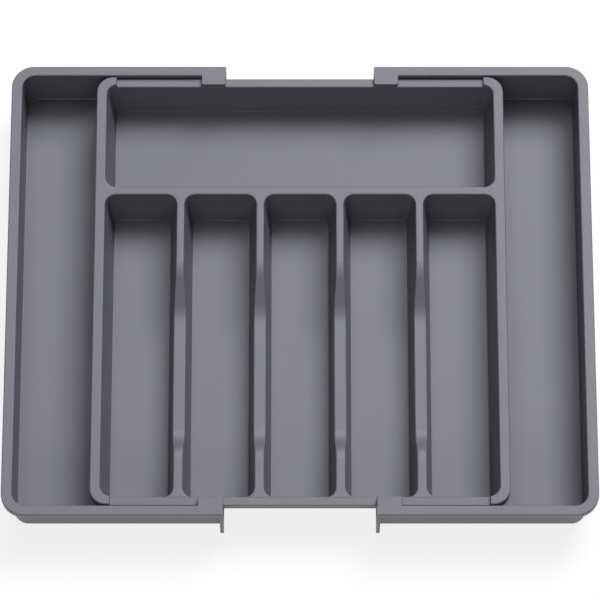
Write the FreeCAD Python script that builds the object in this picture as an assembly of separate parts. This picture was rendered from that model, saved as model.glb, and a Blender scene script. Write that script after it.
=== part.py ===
import FreeCAD, Part
import math
import os

# Expandable cutlery tray, in millimetres, +Z up, +Y to the back, +X to the right.
# The origin is under the middle of the tray, on the surface that the feet stand on.
# The tray is shown part-way open: each side tray can still close and open further.

# Side trays
SIDE_DEPTH = 360.0        # front to back over the rim
SIDE_LENGTH = 164.3       # outer rim to open end
SIDE_HEIGHT = 45.8        # underside to rim top
SIDE_RIM_OUTER = 8.2      # rim width along the outer side
SIDE_RIM_END = 7.7        # rim width along the front and back
SIDE_WALL = 2.0
SIDE_FLOOR = 2.4
SIDE_SKIN = 2.0           # thickness of the rim's flat top
SIDE_LIP = 5.7            # depth of the turned-down lip
SIDE_LIP_WALL = 1.8
SIDE_DRAFT = 1.2          # degrees
SIDE_RIM_RADIUS = 17.0    # plan radius of the rim's outer corners
SIDE_FLOOR_RADIUS = 9.0   # plan radius of the compartment's corners at the floor
SIDE_FLOOR_FILLET = 0.9
SIDE_UNDER_FILLET = 3.0
OPENING = 56.4            # how far each side tray is drawn out
END_GAP = 0.5             # what each open end keeps from the middle when closed
FIN_THICKNESS = 2.7       # upright rib that closes the end of the rim

# Hooks of the side trays, which ride on the centre tray's lowered rims
HOOK_WIDTH = 18.6
HOOK_CORNER = 1.5
HOOK_CLEARANCE = 0.3
HOOK_BEVEL = 0.4

# Feet
FOOT_DIAMETER = 12.0
FOOT_PROUD = 1.2
FOOT_SOCKET = 0.9         # depth of the socket in the floor
FOOT_CLEARANCE = 0.15
FOOT_INSET = 22.0         # foot centre from the pocket's edges
FOOT_BEVEL = 0.4

# Centre tray
CENTRE_SIDE_CLEARANCE = 0.8   # rim to the side tray's outer wall when closed
CENTRE_END_CLEARANCE = 0.9    # rim to the side trays' front and back walls
CENTRE_FLOOR_CLEARANCE = 0.3  # running gap above the side trays' floors
CENTRE_RIM_SIDE = 7.7
CENTRE_RIM_END = 6.4
CENTRE_WALL = 2.0
CENTRE_FLOOR = 2.0
CENTRE_SKIN = 2.0
CENTRE_LIP = 10.9
CENTRE_LIP_WALL = 1.8
CENTRE_DRAFT = 7.3            # degrees
CENTRE_RIM_RADIUS = 12.5
POCKET_FLOOR_RADIUS = 3.0     # plan radius of the compartments' corners at the floor
POCKET_FLOOR_FILLET = 0.9
POCKET_UNDER_BEVEL = 1.8
NARROW_COUNT = 5
DIVIDER_WIDTH = 5.8
CROSS_WIDTH = 6.2             # divider between the wide and the narrow compartments
WIDE_LENGTH = 84.4            # wide compartment, front to back
STEP = 4.2                    # drop of the front and back rims under the hooks
STEP_CORNER = 7.0             # full-height corner kept inside the rim at each end of the step
STEP_REACH = 0.1              # how far the step runs past the compartments' rims
DIVIDER_LOW = 0.5             # how far the dividers' front ends stay below the lowered rim
END_RAMP = 0.9                # run of the small ramp from a divider's front end up to the rim

# Finger dip of the dividers
DIP_DEPTH = 13.6              # below the cross divider's top
DIP_FROM_FRONT = 55.6         # compartment front to the dip's flat bottom
DIP_FROM_BACK = 97.8          # compartment back to the dip's flat bottom
DIP_FRONT_ANGLE = 37.0        # degrees
DIP_FRONT_RADIUS = 20.1
DIP_BACK_ANGLE = 26.0         # degrees
DIP_BACK_RADIUS = 33.0
DIP_ARC_SHARE = 0.95          # most of a slope's drop that its two arcs take up

# Edges
RIM_EDGE = 0.9                # rounding of the rims' outer edges
POCKET_EDGE = 1.0             # rounding of the compartments' upper edges
MARGIN = 5.0                  # how far cutting shapes reach past what they cut
NEAR = 0.01                   # tolerance for picking edges by place

# Heights
side_under = FOOT_PROUD
side_floor = side_under + SIDE_FLOOR
rim_top = side_under + SIDE_HEIGHT
low_top = rim_top - STEP
centre_under = side_floor + CENTRE_FLOOR_CLEARANCE
centre_floor = centre_under + CENTRE_FLOOR

# Plan of the right side tray
side_end_x = OPENING + END_GAP
side_out_x = side_end_x + SIDE_LENGTH
side_in_x = side_out_x - SIDE_RIM_OUTER
side_out_y = SIDE_DEPTH / 2
side_in_y = side_out_y - SIDE_RIM_END

# Plan of the centre tray
centre_out_x = END_GAP + SIDE_LENGTH - SIDE_RIM_OUTER - CENTRE_SIDE_CLEARANCE
centre_out_y = side_in_y - CENTRE_END_CLEARANCE
pocket_x = centre_out_x - CENTRE_RIM_SIDE
pocket_y = centre_out_y - CENTRE_RIM_END
wide_front_y = pocket_y - WIDE_LENGTH
narrow_back_y = wide_front_y - CROSS_WIDTH
narrow_width = (2 * pocket_x - (NARROW_COUNT - 1) * DIVIDER_WIDTH) / NARROW_COUNT
step_x = pocket_x - STEP_CORNER
step_y = pocket_y - STEP * math.tan(math.radians(CENTRE_DRAFT)) - STEP_REACH


def point(x, y, z):
    return FreeCAD.Vector(x, y, z)


def box(x0, x1, y0, y1, z0, z1):
    return Part.makeBox(x1 - x0, y1 - y0, z1 - z0, point(x0, y0, z0))


def outline(x0, x1, y0, y1, radius, z):
    """Closed wire of a rectangle with round corners."""
    turn = radius * (1 - math.sqrt(0.5))
    corners = [
        (point(x1 - radius, y0, z), point(x1 - turn, y0 + turn, z), point(x1, y0 + radius, z)),
        (point(x1, y1 - radius, z), point(x1 - turn, y1 - turn, z), point(x1 - radius, y1, z)),
        (point(x0 + radius, y1, z), point(x0 + turn, y1 - turn, z), point(x0, y1 - radius, z)),
        (point(x0, y0 + radius, z), point(x0 + turn, y0 + turn, z), point(x0 + radius, y0, z)),
    ]
    edges = []
    for index, (start, middle, end) in enumerate(corners):
        edges.append(Part.Arc(start, middle, end).toShape())
        following = corners[(index + 1) % len(corners)][0]
        edges.append(Part.LineSegment(end, following).toShape())
    return Part.Wire(edges)


def prism(x0, x1, y0, y1, radius, z0, z1):
    face = Part.Face(outline(x0, x1, y0, y1, radius, z0))
    return face.extrude(point(0, 0, z1 - z0))


def edges_at(shape, z):
    return [edge for edge in shape.Edges if all(abs(v.Z - z) < NEAR for v in edge.Vertexes)]


def swept_around(profile, centres):
    """Faces of an upright profile carried round four corner centres, given anticlockwise."""
    up = point(0, 0, 1)
    faces = []
    for index, centre in enumerate(centres):
        following = centres[(index + 1) % len(centres)]
        start = profile.copy()
        start.rotate(point(0, 0, 0), up, 90 * (index - 1))
        start.translate(centre)
        faces.extend(start.revolve(centre, up, 90).Faces)
        end = profile.copy()
        end.rotate(point(0, 0, 0), up, 90 * index)
        end.translate(centre)
        faces.extend(end.extrude(following - centre).Faces)
    return faces


def round_foot(low_radius, z0, lean, fillet):
    """Edge that rounds the foot of a drafted wall, in the plane Y = 0."""
    tangent = fillet * math.tan((math.pi / 2 - lean) / 2)
    middle = (math.pi / 2 + lean) / 2
    base = point(low_radius - tangent, 0, z0)
    curve = point(base.x + fillet * math.cos(middle), 0, z0 + fillet * (1 - math.sin(middle)))
    wall = point(low_radius + tangent * math.sin(lean), 0, z0 + tangent * math.cos(lean))
    return Part.Arc(base, curve, wall).toShape()


def bevelled_foot(low_radius, z0, lean, bevel):
    """Edge that bevels the foot of a drafted wall, in the plane Y = 0."""
    base = point(low_radius - bevel, 0, z0)
    wall = point(low_radius + bevel * math.tan(lean), 0, z0 + bevel)
    return Part.LineSegment(base, wall).toShape()


def tapered(x0, x1, y0, y1, low_radius, z0, z1, draft, foot_shape, foot_size):
    """Drafted block: its sizes are those of the upper face, its radius that of the foot."""
    lean = math.radians(draft)
    top_radius = low_radius + (z1 - z0) * math.tan(lean)
    foot = foot_shape(low_radius, z0, lean, foot_size)
    base, wall = [v.Point for v in foot.Vertexes]
    profile = Part.Wire([foot, Part.LineSegment(wall, point(top_radius, 0, z1)).toShape()])
    left, right = x0 + top_radius, x1 - top_radius
    front, back = y0 + top_radius, y1 - top_radius
    centres = [point(right, front, 0), point(right, back, 0), point(left, back, 0), point(left, front, 0)]
    faces = swept_around(profile, centres)
    for radius, z in ((base.x, z0), (top_radius, z1)):
        faces.append(Part.Face(outline(left - radius, right + radius, front - radius, back + radius, radius, z)))
    skin = Part.Compound(faces)
    skin.sewShape()
    block = Part.Solid(Part.Shell(skin.Faces))
    if block.Volume < 0:
        block.reverse()
    return block


def rounded_rim(x0, x1, y0, y1, radius, z0, z1):
    """Slab of a rim, with a round upper edge."""
    slab = prism(x0, x1, y0, y1, radius, z0, z1)
    return slab.makeFillet(RIM_EDGE, edges_at(slab, z1))


def flared(pocket, surround, lowest):
    """Pocket shape with its mouth opened to a round edge where it meets the surround's top.

    The edge is rounded on the surround, from the lowest height that its top has, and what
    the surround then leaves free is the shape to cut.
    """
    bounds = surround.BoundBox
    frame = surround.cut(pocket)
    mouth = []
    for edge in frame.Edges:
        inside = [
            bounds.XMin + NEAR < v.X < bounds.XMax - NEAR
            and bounds.YMin + NEAR < v.Y < bounds.YMax - NEAR
            and v.Z > lowest - NEAR
            for v in edge.Vertexes
        ]
        if all(inside):
            mouth.append(edge)
    frame = frame.makeFillet(POCKET_EDGE, mouth)
    around = box(bounds.XMin, bounds.XMax, bounds.YMin, bounds.YMax, bounds.ZMin, rim_top)
    return around.cut(frame)


def dip_slope(y_low, z_low, direction, drop, angle, wanted_radius):
    """Edges of one slope of the dip, from its bottom up, in the plane X = 0, and the slope's upper end.

    Two equal arcs with a straight stretch between them: their radius is the wanted one, or
    the largest that the drop has room for.
    """
    turn = math.radians(angle)
    half = turn / 2
    radius = min(wanted_radius, DIP_ARC_SHARE * drop / (2 * (1 - math.cos(turn))))
    straight_drop = drop - 2 * radius * (1 - math.cos(turn))
    run = 2 * radius * math.sin(turn) + straight_drop / math.tan(turn)
    y_high = y_low + direction * run
    z_high = z_low + drop
    low = point(0, y_low, z_low)
    low_middle = point(0, y_low + direction * radius * math.sin(half), z_low + radius * (1 - math.cos(half)))
    low_end = point(0, y_low + direction * radius * math.sin(turn), z_low + radius * (1 - math.cos(turn)))
    high = point(0, y_high, z_high)
    high_middle = point(0, y_high - direction * radius * math.sin(half), z_high - radius * (1 - math.cos(half)))
    high_end = point(0, y_high - direction * radius * math.sin(turn), z_high - radius * (1 - math.cos(turn)))
    edges = [
        Part.Arc(low, low_middle, low_end).toShape(),
        Part.LineSegment(low_end, high_end).toShape(),
        Part.Arc(high_end, high_middle, high).toShape(),
    ]
    return edges, high


def dipped_block(x0, x1, y0, y1, z0, z_high):
    """Block along the narrow compartments whose top has the finger dip and the lower front end."""
    dip_front = -pocket_y + DIP_FROM_FRONT
    dip_back = narrow_back_y - DIP_FROM_BACK
    z_low = z_high - DIP_DEPTH
    front_drop = DIP_DEPTH - STEP - DIVIDER_LOW
    front, front_high = dip_slope(dip_front, z_low, -1, front_drop, DIP_FRONT_ANGLE, DIP_FRONT_RADIUS)
    back, back_high = dip_slope(dip_back, z_low, 1, DIP_DEPTH, DIP_BACK_ANGLE, DIP_BACK_RADIUS)
    bottom = Part.LineSegment(point(0, dip_front, z_low), point(0, dip_back, z_low)).toShape()
    frame = Part.makePolygon([
        back_high, point(0, y1, z_high), point(0, y1, z0), point(0, y0, z0), point(0, y0, front_high.z), front_high,
    ])
    edges = front + [bottom] + back + frame.Edges
    side = Part.Face(Part.Wire(Part.__sortEdges__(edges)))
    block = side.extrude(point(x1 - x0, 0, 0))
    block.translate(point(x0, 0, 0))
    return block


def step_zones(inset, z0, z1):
    """The two stretches, front and back, where the centre tray's rim is lowered, with drafted ends."""
    lean = math.tan(math.radians(CENTRE_DRAFT))
    low_x = step_x + inset - (rim_top - z0) * lean
    high_x = step_x + inset - (rim_top - z1) * lean
    near_y = step_y - inset
    far_y = centre_out_y + MARGIN
    corners = [
        point(-low_x, near_y, z0), point(low_x, near_y, z0), point(high_x, near_y, z1), point(-high_x, near_y, z1),
    ]
    end = Part.Face(Part.makePolygon(corners + corners[:1]))
    back = end.extrude(point(0, far_y - near_y, 0))
    front = back.mirror(point(0, 0, 0), point(0, 1, 0))
    return [front, back]


def centre_pocket_spans():
    """Plan limits of the six compartments: the wide one first, then the narrow ones."""
    spans = [(-pocket_x, pocket_x, wide_front_y, pocket_y)]
    for index in range(NARROW_COUNT):
        x0 = -pocket_x + index * (narrow_width + DIVIDER_WIDTH)
        spans.append((x0, x0 + narrow_width, -pocket_y, narrow_back_y))
    return spans


def end_ramps():
    """Wedges that slope the lowered front rim down to each divider's front end."""
    corner = POCKET_FLOOR_RADIUS + (low_top - centre_floor) * math.tan(math.radians(CENTRE_DRAFT))
    half = DIVIDER_WIDTH / 2 + corner
    wedges = []
    for index in range(1, NARROW_COUNT):
        x = -pocket_x + index * (narrow_width + DIVIDER_WIDTH) - DIVIDER_WIDTH / 2
        upper = point(x - half, -step_y, low_top)
        end = Part.Face(Part.makePolygon([
            upper, point(x - half, -step_y - END_RAMP, low_top), point(x - half, -step_y, low_top - DIVIDER_LOW), upper,
        ]))
        wedges.append(end.extrude(point(2 * half, 0, 0)))
    return wedges


def centre_block(span, grow, z0, foot_shape, foot_size):
    """Drafted block of one compartment, grown by a wall thickness."""
    x0, x1, y0, y1 = span
    return tapered(x0 - grow, x1 + grow, y0 - grow, y1 + grow, POCKET_FLOOR_RADIUS + grow,
                   z0, rim_top, CENTRE_DRAFT, foot_shape, foot_size)


def pocket_tools(span, narrow):
    """Shapes that cut one compartment, with its edges rounded at each of its heights."""
    x0, x1, y0, y1 = span
    pocket = centre_block(span, 0, centre_floor, round_foot, POCKET_FLOOR_FILLET)
    reach = DIVIDER_WIDTH / 2
    limits = (x0 - reach, x1 + reach, y0 - reach, y1 + reach)
    flat = flared(pocket, box(*limits, centre_floor - MARGIN, rim_top), rim_top)
    low = flared(pocket, box(*limits, centre_floor - MARGIN, low_top), low_top)
    tall = (centre_floor - MARGIN * 2, rim_top + MARGIN)
    zones = step_zones(0, *tall)
    tools = [low.common(zone) for zone in zones if low.common(zone).Volume > NEAR]
    if not narrow:
        return tools + [flat.cut(zones)]
    dipped = flared(pocket, dipped_block(*limits, centre_floor - MARGIN, rim_top), rim_top - DIP_DEPTH)
    middle = (x0 + x1) / 2
    outer_left = x0 < -pocket_x + NEAR
    outer_right = x1 > pocket_x - NEAR
    left_half = box(x0 - MARGIN, middle, y0 - MARGIN, y1 + MARGIN, *tall)
    right_half = box(middle, x1 + MARGIN, y0 - MARGIN, y1 + MARGIN, *tall)
    left = flat if outer_left else dipped
    right = flat if outer_right else dipped
    tools.append(left.common(left_half).cut(zones))
    tools.append(right.common(right_half).cut(zones))
    return tools


def centre_hollow(bowls):
    """Space under the rim, the cross divider and the dividers, outside the compartments' walls."""
    inset = CENTRE_LIP_WALL
    ceiling = rim_top - CENTRE_SKIN
    hollow = prism(-centre_out_x + inset, centre_out_x - inset, -centre_out_y + inset, centre_out_y - inset,
                   CENTRE_RIM_RADIUS - inset, centre_under - MARGIN, ceiling)
    skins = step_zones(CENTRE_SKIN, low_top - CENTRE_SKIN, rim_top)
    slot = box(-pocket_x, pocket_x, -pocket_y, narrow_back_y, centre_under - MARGIN, rim_top + MARGIN)
    room = dipped_block(-pocket_x, pocket_x, -pocket_y, narrow_back_y, centre_under - MARGIN, ceiling)
    return hollow.cut(skins).cut(slot.cut(room)).cut(bowls)


def make_centre_tray():
    spans = centre_pocket_spans()
    bowls = []
    for span in spans:
        bowls.append(centre_block(span, CENTRE_WALL, centre_under, bevelled_foot, POCKET_UNDER_BEVEL))
    lip_bottom = rim_top - CENTRE_LIP
    deck_limits = (-centre_out_x, centre_out_x, -centre_out_y, centre_out_y, CENTRE_RIM_RADIUS)
    deck = rounded_rim(*deck_limits, lip_bottom, rim_top)
    low_deck = rounded_rim(*deck_limits, lip_bottom, low_top)
    dividers = box(-pocket_x, pocket_x, -pocket_y, narrow_back_y, centre_under, rim_top)
    lowering = [zone.cut(low_deck) for zone in step_zones(0, lip_bottom, rim_top + MARGIN)]
    blank = deck.fuse([dividers] + bowls)
    blank = blank.cut(lowering)
    blank = blank.cut(centre_hollow(bowls))
    for index, span in enumerate(spans):
        blank = blank.cut(pocket_tools(span, index > 0))
    return blank.cut(end_ramps()).removeSplitter()


def make_right_tray():
    """Side tray that slides out to the right, open towards the centre tray."""
    far_x = side_end_x - SIDE_RIM_RADIUS - MARGIN
    lip_bottom = rim_top - SIDE_LIP
    rim = rounded_rim(far_x, side_out_x, -side_out_y, side_out_y, SIDE_RIM_RADIUS, lip_bottom, rim_top)
    inset = SIDE_LIP_WALL
    channel = prism(far_x + inset, side_out_x - inset, -side_out_y + inset, side_out_y - inset,
                    SIDE_RIM_RADIUS - inset, lip_bottom - MARGIN, rim_top - SIDE_SKIN)
    wall = SIDE_WALL
    bowl = tapered(far_x, side_in_x + wall, -side_in_y - wall, side_in_y + wall,
                   SIDE_FLOOR_RADIUS + wall, side_under, rim_top, SIDE_DRAFT, round_foot, SIDE_UNDER_FILLET)
    pocket = tapered(far_x - MARGIN, side_in_x, -side_in_y, side_in_y,
                     SIDE_FLOOR_RADIUS, side_floor, rim_top, SIDE_DRAFT, round_foot, SIDE_FLOOR_FILLET)
    reach = SIDE_RIM_END / 2
    surround = box(far_x - MARGIN - reach, side_in_x + reach, -side_in_y - reach, side_in_y + reach,
                   side_floor - MARGIN, rim_top)
    mouth = flared(pocket, surround, rim_top)
    fins = []
    for side in (-1, 1):
        inner_y = side * (side_in_y - SIDE_UNDER_FILLET - wall)
        outer_y = side * side_out_y
        fins.append(box(side_end_x, side_end_x + FIN_THICKNESS, min(inner_y, outer_y), max(inner_y, outer_y),
                        side_under, rim_top - SIDE_SKIN))
    open_end = box(far_x - 2 * MARGIN, side_end_x, -side_out_y - MARGIN, side_out_y + MARGIN,
                   side_under - MARGIN, rim_top + MARGIN)
    tray = rim.cut(channel).fuse([bowl] + fins).cut([open_end]).cut([mouth])
    tray = tray.fuse([make_hook(side) for side in (-1, 1)])
    sockets = []
    for x, y in foot_places():
        radius = FOOT_DIAMETER / 2 + FOOT_CLEARANCE
        sockets.append(Part.makeCylinder(radius, FOOT_SOCKET, point(x, y, side_under)))
    return tray.cut(sockets).removeSplitter()


def make_hook(side):
    """Tongue of a side tray's rim that reaches over the centre tray's lowered rim."""
    root_y = side * (side_in_y + SIDE_WALL)
    edge_y = side * pocket_y
    thickness = STEP - HOOK_CLEARANCE
    hook = box(side_end_x, side_end_x + HOOK_WIDTH, min(root_y, edge_y), max(root_y, edge_y),
               rim_top - thickness, rim_top)
    corners = []
    for edge in hook.Edges:
        start, end = [v.Point for v in edge.Vertexes]
        upright = abs(start.z - end.z) > NEAR
        if upright and abs(start.y - edge_y) < NEAR:
            corners.append(edge)
    hook = hook.makeFillet(HOOK_CORNER, corners)
    upper = [edge for edge in edges_at(hook, rim_top) if abs(edge.CenterOfMass.y - root_y) > NEAR]
    return hook.makeChamfer(HOOK_BEVEL, upper)


def foot_places():
    """Centres of the feet under the right tray."""
    places = []
    for x in (side_end_x + FOOT_INSET, side_in_x - FOOT_INSET):
        for y in (-side_in_y + FOOT_INSET, side_in_y - FOOT_INSET):
            places.append((x, y))
    return places


def make_foot(x, y):
    """Rubber foot, seated against the top of its socket."""
    foot = Part.makeCylinder(FOOT_DIAMETER / 2, FOOT_PROUD + FOOT_SOCKET, point(x, y, 0))
    return foot.makeChamfer(FOOT_BEVEL, edges_at(foot, 0))


def mirrored(shape):
    return shape.mirror(point(0, 0, 0), point(1, 0, 0))


def main():
    os.makedirs("parts", exist_ok=True)
    nodes = {"centre_tray": make_centre_tray()}
    right_tray = make_right_tray()
    nodes["right_tray"] = right_tray
    nodes["left_tray"] = mirrored(right_tray)
    for number, (x, y) in enumerate(foot_places(), start=1):
        foot = make_foot(x, y)
        nodes[f"right_foot_{number}"] = foot
        nodes[f"left_foot_{number}"] = mirrored(foot)
    for name, shape in nodes.items():
        solids = shape.Solids
        print(name, "solids", len(solids), "valid", shape.isValid(), "volume", round(shape.Volume, 1))
        solids[0].exportStep(f"parts/{name}.step")


main()
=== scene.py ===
import math

import bmesh
import bpy
from mathutils import Matrix, Vector


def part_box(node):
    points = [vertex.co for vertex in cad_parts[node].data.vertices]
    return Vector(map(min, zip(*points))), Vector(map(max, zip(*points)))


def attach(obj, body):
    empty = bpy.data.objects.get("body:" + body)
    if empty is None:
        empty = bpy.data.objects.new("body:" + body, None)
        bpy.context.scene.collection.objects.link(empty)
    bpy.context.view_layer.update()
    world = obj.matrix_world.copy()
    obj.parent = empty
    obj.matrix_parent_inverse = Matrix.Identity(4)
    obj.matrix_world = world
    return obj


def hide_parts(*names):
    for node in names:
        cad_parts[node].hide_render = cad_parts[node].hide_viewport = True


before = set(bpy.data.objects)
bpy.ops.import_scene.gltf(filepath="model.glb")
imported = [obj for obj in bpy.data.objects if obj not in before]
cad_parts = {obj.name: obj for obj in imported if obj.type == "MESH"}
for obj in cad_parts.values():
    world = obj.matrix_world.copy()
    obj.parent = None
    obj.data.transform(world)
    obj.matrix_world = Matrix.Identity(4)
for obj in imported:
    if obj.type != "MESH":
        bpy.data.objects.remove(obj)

scene = bpy.context.scene
scene.view_settings.view_transform = "Standard"
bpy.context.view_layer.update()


# Camera: a long lens well above the front of the tray, looking down on it.
# The tray stands square to the lens, so its left and right halves look alike.

view_elevation = math.radians(70.0)
view_distance = 2.9187
view_lens = 232.8
view_sensor = 36.0
view_target = Vector((0.0, -0.0111, 0.047))

camera_data = bpy.data.cameras.new("camera")
camera_data.lens = view_lens
camera_data.sensor_width = view_sensor
camera = bpy.data.objects.new("camera", camera_data)
camera_offset = Vector((0.0, -math.cos(view_elevation), math.sin(view_elevation))) * view_distance
camera.location = view_target + camera_offset
camera.rotation_euler = (math.pi / 2 - view_elevation, 0.0, 0.0)
scene.collection.objects.link(camera)
scene.camera = camera


# Room: a wide white card under the tray, in a dim room.
# The main soft box hangs above the back right, and weaker ones hang overhead, in front and at the left.

wall_light = 0.1
wall_top = math.radians(3.0)
ceiling_light = 0.03
ceiling_edge = math.radians(10.0)
room_white = (1.0, 1.0, 1.0, 1.0)
floor_half = 40.0
card_white = (0.92, 0.92, 0.92, 1.0)
card_shade = (0.2, 0.2, 0.2, 1.0)
card_glow = 0.82
lamp_distance = 9.0
cool_white = (0.97, 0.97, 1.06)
plain_white = (1.0, 1.0, 1.0)
key_direction = Vector((0.39, 0.67, 1.0)).normalized()
key_size = 4.6
key_radiance = 13.5
top_direction = Vector((-0.08, 0.35, 1.0)).normalized()
top_size = 5.2
top_radiance = 2.85
front_direction = Vector((0.0, -1.5, 1.0)).normalized()
front_width = 6.5
front_height = 3.0
front_radiance = 3.0
left_direction = Vector((-1.4, -0.6, 1.0)).normalized()
left_size = 3.6
left_radiance = 1.3


def seen_directly(nodes, links):
    """Mask of the rays that see the card as white: those of the eye, of gloss and of glass."""
    path = nodes.new("ShaderNodeLightPath")
    glossy = nodes.new("ShaderNodeMath")
    glossy.operation = "MAXIMUM"
    links.new(path.outputs["Is Camera Ray"], glossy.inputs[0])
    links.new(path.outputs["Is Glossy Ray"], glossy.inputs[1])
    clear = nodes.new("ShaderNodeMath")
    clear.operation = "MAXIMUM"
    links.new(glossy.outputs[0], clear.inputs[0])
    links.new(path.outputs["Is Transmission Ray"], clear.inputs[1])
    return clear.outputs[0]


def make_room():
    """Dim walls that fade, between wall_top and ceiling_edge, into a darker ceiling."""
    world = bpy.data.worlds.new("dim_room")
    world.use_nodes = True
    nodes = world.node_tree.nodes
    links = world.node_tree.links
    background = nodes["Background"]
    place = nodes.new("ShaderNodeTexCoord")
    split = nodes.new("ShaderNodeSeparateXYZ")
    fade = nodes.new("ShaderNodeMapRange")
    fade.interpolation_type = "SMOOTHSTEP"
    fade.inputs["From Min"].default_value = math.sin(wall_top)
    fade.inputs["From Max"].default_value = math.sin(ceiling_edge)
    fade.inputs["To Min"].default_value = wall_light
    fade.inputs["To Max"].default_value = ceiling_light
    links.new(place.outputs["Generated"], split.inputs[0])
    links.new(split.outputs["Z"], fade.inputs["Value"])
    links.new(fade.outputs["Result"], background.inputs["Strength"])
    background.inputs["Color"].default_value = room_white
    scene.world = world


def make_floor():
    """White card that keeps a faint shadow of the tray."""
    mesh = bpy.data.meshes.new("floor")
    corners = [(-floor_half, -floor_half, 0.0), (floor_half, -floor_half, 0.0),
               (floor_half, floor_half, 0.0), (-floor_half, floor_half, 0.0)]
    mesh.from_pydata(corners, [], [(0, 1, 2, 3)])
    floor = bpy.data.objects.new("floor", mesh)
    scene.collection.objects.link(floor)
    card = bpy.data.materials.new("white_card")
    card.use_nodes = True
    nodes = card.node_tree.nodes
    links = card.node_tree.links
    nodes.clear()
    output = nodes.new("ShaderNodeOutputMaterial")
    bounce = nodes.new("ShaderNodeBsdfDiffuse")
    bounce.inputs["Color"].default_value = card_white
    shade = nodes.new("ShaderNodeBsdfDiffuse")
    shade.inputs["Color"].default_value = card_shade
    glow = nodes.new("ShaderNodeEmission")
    glow.inputs["Strength"].default_value = card_glow
    seen = nodes.new("ShaderNodeAddShader")
    mix = nodes.new("ShaderNodeMixShader")
    links.new(shade.outputs[0], seen.inputs[0])
    links.new(glow.outputs[0], seen.inputs[1])
    links.new(seen_directly(nodes, links), mix.inputs["Fac"])
    links.new(bounce.outputs[0], mix.inputs[1])
    links.new(seen.outputs[0], mix.inputs[2])
    links.new(mix.outputs[0], output.inputs["Surface"])
    mesh.materials.append(card)


def make_lamp(name, direction, width, height, radiance, colour):
    """Oval soft box that faces the tray from far off, with its width along X and an evenly bright face."""
    data = bpy.data.lights.new(name, "AREA")
    data.shape = "ELLIPSE"
    data.size = width
    data.size_y = height
    data.color = colour
    face_area = math.pi * width * height / 4
    data.energy = radiance * math.pi * face_area
    lamp = bpy.data.objects.new(name, data)
    across = (Vector((1.0, 0.0, 0.0)) - direction * direction.x).normalized()
    lamp.location = direction * lamp_distance
    lamp.rotation_euler = Matrix((across, direction.cross(across), direction)).transposed().to_euler()
    scene.collection.objects.link(lamp)


make_room()
make_floor()
make_lamp("key", key_direction, key_size, key_size, key_radiance, cool_white)
make_lamp("top", top_direction, top_size, top_size, top_radiance, cool_white)
make_lamp("front", front_direction, front_width, front_height, front_radiance, cool_white)
make_lamp("left", left_direction, left_size, left_size, left_radiance, plain_white)


# Centre tray: one injection moulding in grey polypropylene, with hollow dividers.
# The mould is spark-finished, so every face has a fine satin grain.

plastic_dark = (0.1385, 0.1375, 0.1503, 1.0)
plastic_pale = (0.1458, 0.1449, 0.1582, 1.0)
plastic_grain = 0.0005
plastic_cloud = 0.06
plastic_depth = 0.00008
plastic_smooth = 0.47
plastic_matt = 0.53
plastic_reflection = 0.7
grain_detail = 3.0
cloud_detail = 4.0


def make_grain_group():
    """Fine texture of a mould, and the slow unevenness of the moulded colour and gloss."""
    group = bpy.data.node_groups.new("moulded_grain", "ShaderNodeTree")
    for name in ("Grain pitch", "Cloud pitch"):
        group.interface.new_socket(name, in_out="INPUT", socket_type="NodeSocketFloat")
    for name in ("Height", "Cloud"):
        group.interface.new_socket(name, in_out="OUTPUT", socket_type="NodeSocketFloat")
    nodes = group.nodes
    links = group.links
    entry = nodes.new("NodeGroupInput")
    leave = nodes.new("NodeGroupOutput")
    place = nodes.new("ShaderNodeTexCoord")
    layers = (("Grain pitch", grain_detail, "Height"), ("Cloud pitch", cloud_detail, "Cloud"))
    for pitch, detail, target in layers:
        scale = nodes.new("ShaderNodeMath")
        scale.operation = "DIVIDE"
        scale.inputs[0].default_value = 1.0
        links.new(entry.outputs[pitch], scale.inputs[1])
        noise = nodes.new("ShaderNodeTexNoise")
        noise.inputs["Detail"].default_value = detail
        links.new(place.outputs["Object"], noise.inputs["Vector"])
        links.new(scale.outputs[0], noise.inputs["Scale"])
        links.new(noise.outputs["Fac"], leave.inputs[target])
    return group


grain_group = make_grain_group()


def make_moulded(name, dark, pale, grain_pitch, cloud_pitch, depth, smooth, matt):
    """Moulded material whose colour and gloss drift slowly, under the grain of its mould."""
    material = bpy.data.materials.new(name)
    material.use_nodes = True
    nodes = material.node_tree.nodes
    links = material.node_tree.links
    shader = nodes["Principled BSDF"]
    grain = nodes.new("ShaderNodeGroup")
    grain.node_tree = grain_group
    grain.inputs["Grain pitch"].default_value = grain_pitch
    grain.inputs["Cloud pitch"].default_value = cloud_pitch
    tone = nodes.new("ShaderNodeMix")
    tone.data_type = "RGBA"
    tone.inputs["A"].default_value = dark
    tone.inputs["B"].default_value = pale
    links.new(grain.outputs["Cloud"], tone.inputs["Factor"])
    links.new(tone.outputs["Result"], shader.inputs["Base Color"])
    gloss = nodes.new("ShaderNodeMapRange")
    gloss.inputs["To Min"].default_value = smooth
    gloss.inputs["To Max"].default_value = matt
    links.new(grain.outputs["Cloud"], gloss.inputs["Value"])
    links.new(gloss.outputs["Result"], shader.inputs["Roughness"])
    bump = nodes.new("ShaderNodeBump")
    bump.inputs["Distance"].default_value = depth
    links.new(grain.outputs["Height"], bump.inputs["Height"])
    links.new(bump.outputs["Normal"], shader.inputs["Normal"])
    return material


def make_plastic(name):
    """Satin grey plastic, which reflects a little more than the shader's plain one."""
    material = make_moulded(name, dark=plastic_dark, pale=plastic_pale, grain_pitch=plastic_grain,
                            cloud_pitch=plastic_cloud, depth=plastic_depth, smooth=plastic_smooth,
                            matt=plastic_matt)
    shader = material.node_tree.nodes["Principled BSDF"]
    shader.inputs["Specular IOR Level"].default_value = plastic_reflection
    return material


def dress(node, material):
    """Gives a CAD node its material."""
    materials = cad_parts[node].data.materials
    materials.clear()
    materials.append(material)


grey_plastic = make_plastic("satin_grey_plastic")
dress("centre_tray", grey_plastic)


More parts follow.
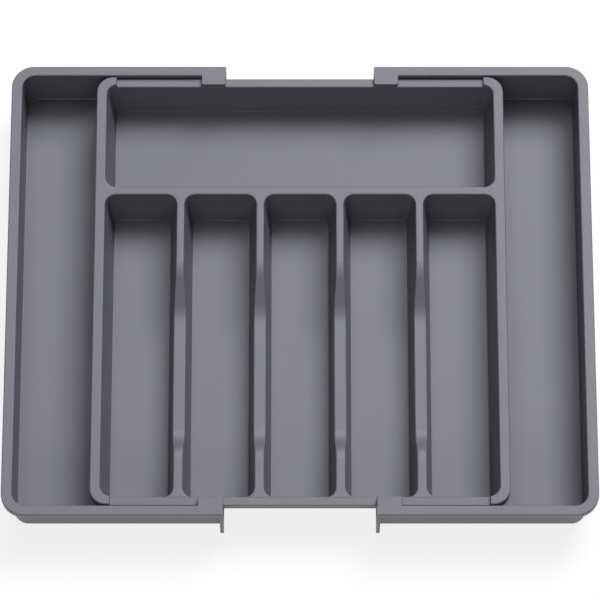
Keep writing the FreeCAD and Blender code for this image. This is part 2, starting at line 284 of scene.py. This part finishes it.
# Side trays: two mirrored mouldings in the same grey plastic, open at their inner ends.
# They slide under the centre tray and hook over its lowered rims.

for tray in ("right_tray", "left_tray"):
    dress(tray, grey_plastic)


# Feet: eight soft rubber pads, pressed into shallow sockets under the side trays.
# Each is moulded with two ring grooves and a dimple underneath, which grip the drawer.

rubber_dark = (0.016, 0.016, 0.017, 1.0)
rubber_pale = (0.034, 0.034, 0.036, 1.0)
rubber_grain = 0.00025
rubber_cloud = 0.003
rubber_depth = 0.00004
rubber_smooth = 0.68
rubber_matt = 0.92
feet_each_way = 2
foot_segments = 48
foot_bevel = 0.0004
foot_top_bevel = 0.0002
dimple_radius = 0.0013
dimple_depth = 0.0005
dimple_slope = 0.0003
groove_radii = (0.0029, 0.0044)
groove_half = 0.0004
groove_depth = 0.0004
groove_floor_half = 0.0002
weld_distance = 1e-6
sharp_angle = math.radians(30.0)


def foot_profile(radius, height):
    """Half section of a foot, from the middle of its underside to the middle of its top."""
    points = [(0.0, dimple_depth), (dimple_radius, dimple_depth), (dimple_radius + dimple_slope, 0.0)]
    for ring in groove_radii:
        points += [(ring - groove_half, 0.0), (ring - groove_floor_half, groove_depth)]
        points += [(ring + groove_floor_half, groove_depth), (ring + groove_half, 0.0)]
    points += [(radius - foot_bevel, 0.0), (radius, foot_bevel)]
    points += [(radius, height - foot_top_bevel), (radius - foot_top_bevel, height), (0.0, height)]
    return points


def make_foot_mesh(radius, height):
    """One foot, turned about its own axis, standing at the origin."""
    shape = bmesh.new()
    corners = [shape.verts.new((x, 0.0, z)) for x, z in foot_profile(radius, height)]
    line = [shape.edges.new(pair) for pair in zip(corners, corners[1:])]
    bmesh.ops.spin(shape, geom=corners + line, cent=(0.0, 0.0, 0.0), axis=(0.0, 0.0, 1.0),
                   angle=2 * math.pi, steps=foot_segments, use_duplicate=False)
    bmesh.ops.remove_doubles(shape, verts=shape.verts, dist=weld_distance)
    bmesh.ops.recalc_face_normals(shape, faces=shape.faces)
    mesh = bpy.data.meshes.new("foot")
    shape.to_mesh(mesh)
    shape.free()
    mesh.shade_smooth()
    mesh.set_sharp_from_angle(angle=sharp_angle)
    return mesh


def make_feet_tree():
    """Sets one foot at each corner of a rectangle."""
    tree = bpy.data.node_groups.new("feet_at_corners", "GeometryNodeTree")
    tree.interface.new_socket("Foot", in_out="INPUT", socket_type="NodeSocketGeometry")
    for name in ("Span X", "Span Y", "Centre X", "Centre Y"):
        tree.interface.new_socket(name, in_out="INPUT", socket_type="NodeSocketFloat")
    tree.interface.new_socket("Finish", in_out="INPUT", socket_type="NodeSocketMaterial")
    tree.interface.new_socket("Feet", in_out="OUTPUT", socket_type="NodeSocketGeometry")
    nodes = tree.nodes
    links = tree.links
    entry = nodes.new("NodeGroupInput")
    leave = nodes.new("NodeGroupOutput")
    corners = nodes.new("GeometryNodeMeshGrid")
    corners.inputs["Vertices X"].default_value = feet_each_way
    corners.inputs["Vertices Y"].default_value = feet_each_way
    links.new(entry.outputs["Span X"], corners.inputs["Size X"])
    links.new(entry.outputs["Span Y"], corners.inputs["Size Y"])
    centre = nodes.new("ShaderNodeCombineXYZ")
    links.new(entry.outputs["Centre X"], centre.inputs["X"])
    links.new(entry.outputs["Centre Y"], centre.inputs["Y"])
    move = nodes.new("GeometryNodeTransform")
    links.new(corners.outputs["Mesh"], move.inputs["Geometry"])
    links.new(centre.outputs["Vector"], move.inputs["Translation"])
    place = nodes.new("GeometryNodeInstanceOnPoints")
    links.new(move.outputs["Geometry"], place.inputs["Points"])
    links.new(entry.outputs["Foot"], place.inputs["Instance"])
    solid = nodes.new("GeometryNodeRealizeInstances")
    links.new(place.outputs["Instances"], solid.inputs["Geometry"])
    finish = nodes.new("GeometryNodeSetMaterial")
    links.new(solid.outputs["Geometry"], finish.inputs["Geometry"])
    links.new(entry.outputs["Finish"], finish.inputs["Material"])
    links.new(finish.outputs["Geometry"], leave.inputs["Feet"])
    return tree


def make_feet(side, tree, material):
    """The four feet of one side tray, as one mesh in the places of its CAD feet."""
    nodes = [f"{side}_foot_{number}" for number in range(1, feet_each_way ** 2 + 1)]
    boxes = [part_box(node) for node in nodes]
    low = [min(box[0][axis] for box in boxes) for axis in range(3)]
    high = [max(box[1][axis] for box in boxes) for axis in range(3)]
    first_low, first_high = boxes[0]
    width = first_high[0] - first_low[0]
    height = first_high[2] - first_low[2]
    feet = bpy.data.objects.new(f"{side}_feet", make_foot_mesh(width / 2, height))
    scene.collection.objects.link(feet)
    sockets = {item.name: item.identifier for item in tree.interface.items_tree}
    values = {
        "Span X": high[0] - low[0] - width,
        "Span Y": high[1] - low[1] - width,
        "Centre X": (low[0] + high[0]) / 2,
        "Centre Y": (low[1] + high[1]) / 2,
        "Finish": material,
    }
    layout = feet.modifiers.new("layout", "NODES")
    layout.node_group = tree
    for name, value in values.items():
        layout[sockets[name]] = value
    evaluated = feet.evaluated_get(bpy.context.evaluated_depsgraph_get())
    mesh = bpy.data.meshes.new_from_object(evaluated)
    feet.modifiers.clear()
    feet.data = mesh
    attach(feet, side)
    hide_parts(*nodes)


foot_rubber = make_moulded("black_foot_rubber", dark=rubber_dark, pale=rubber_pale, grain_pitch=rubber_grain,
                           cloud_pitch=rubber_cloud, depth=rubber_depth, smooth=rubber_smooth,
                           matt=rubber_matt)
feet_tree = make_feet_tree()
for side in ("right", "left"):
    make_feet(side, feet_tree, foot_rubber)
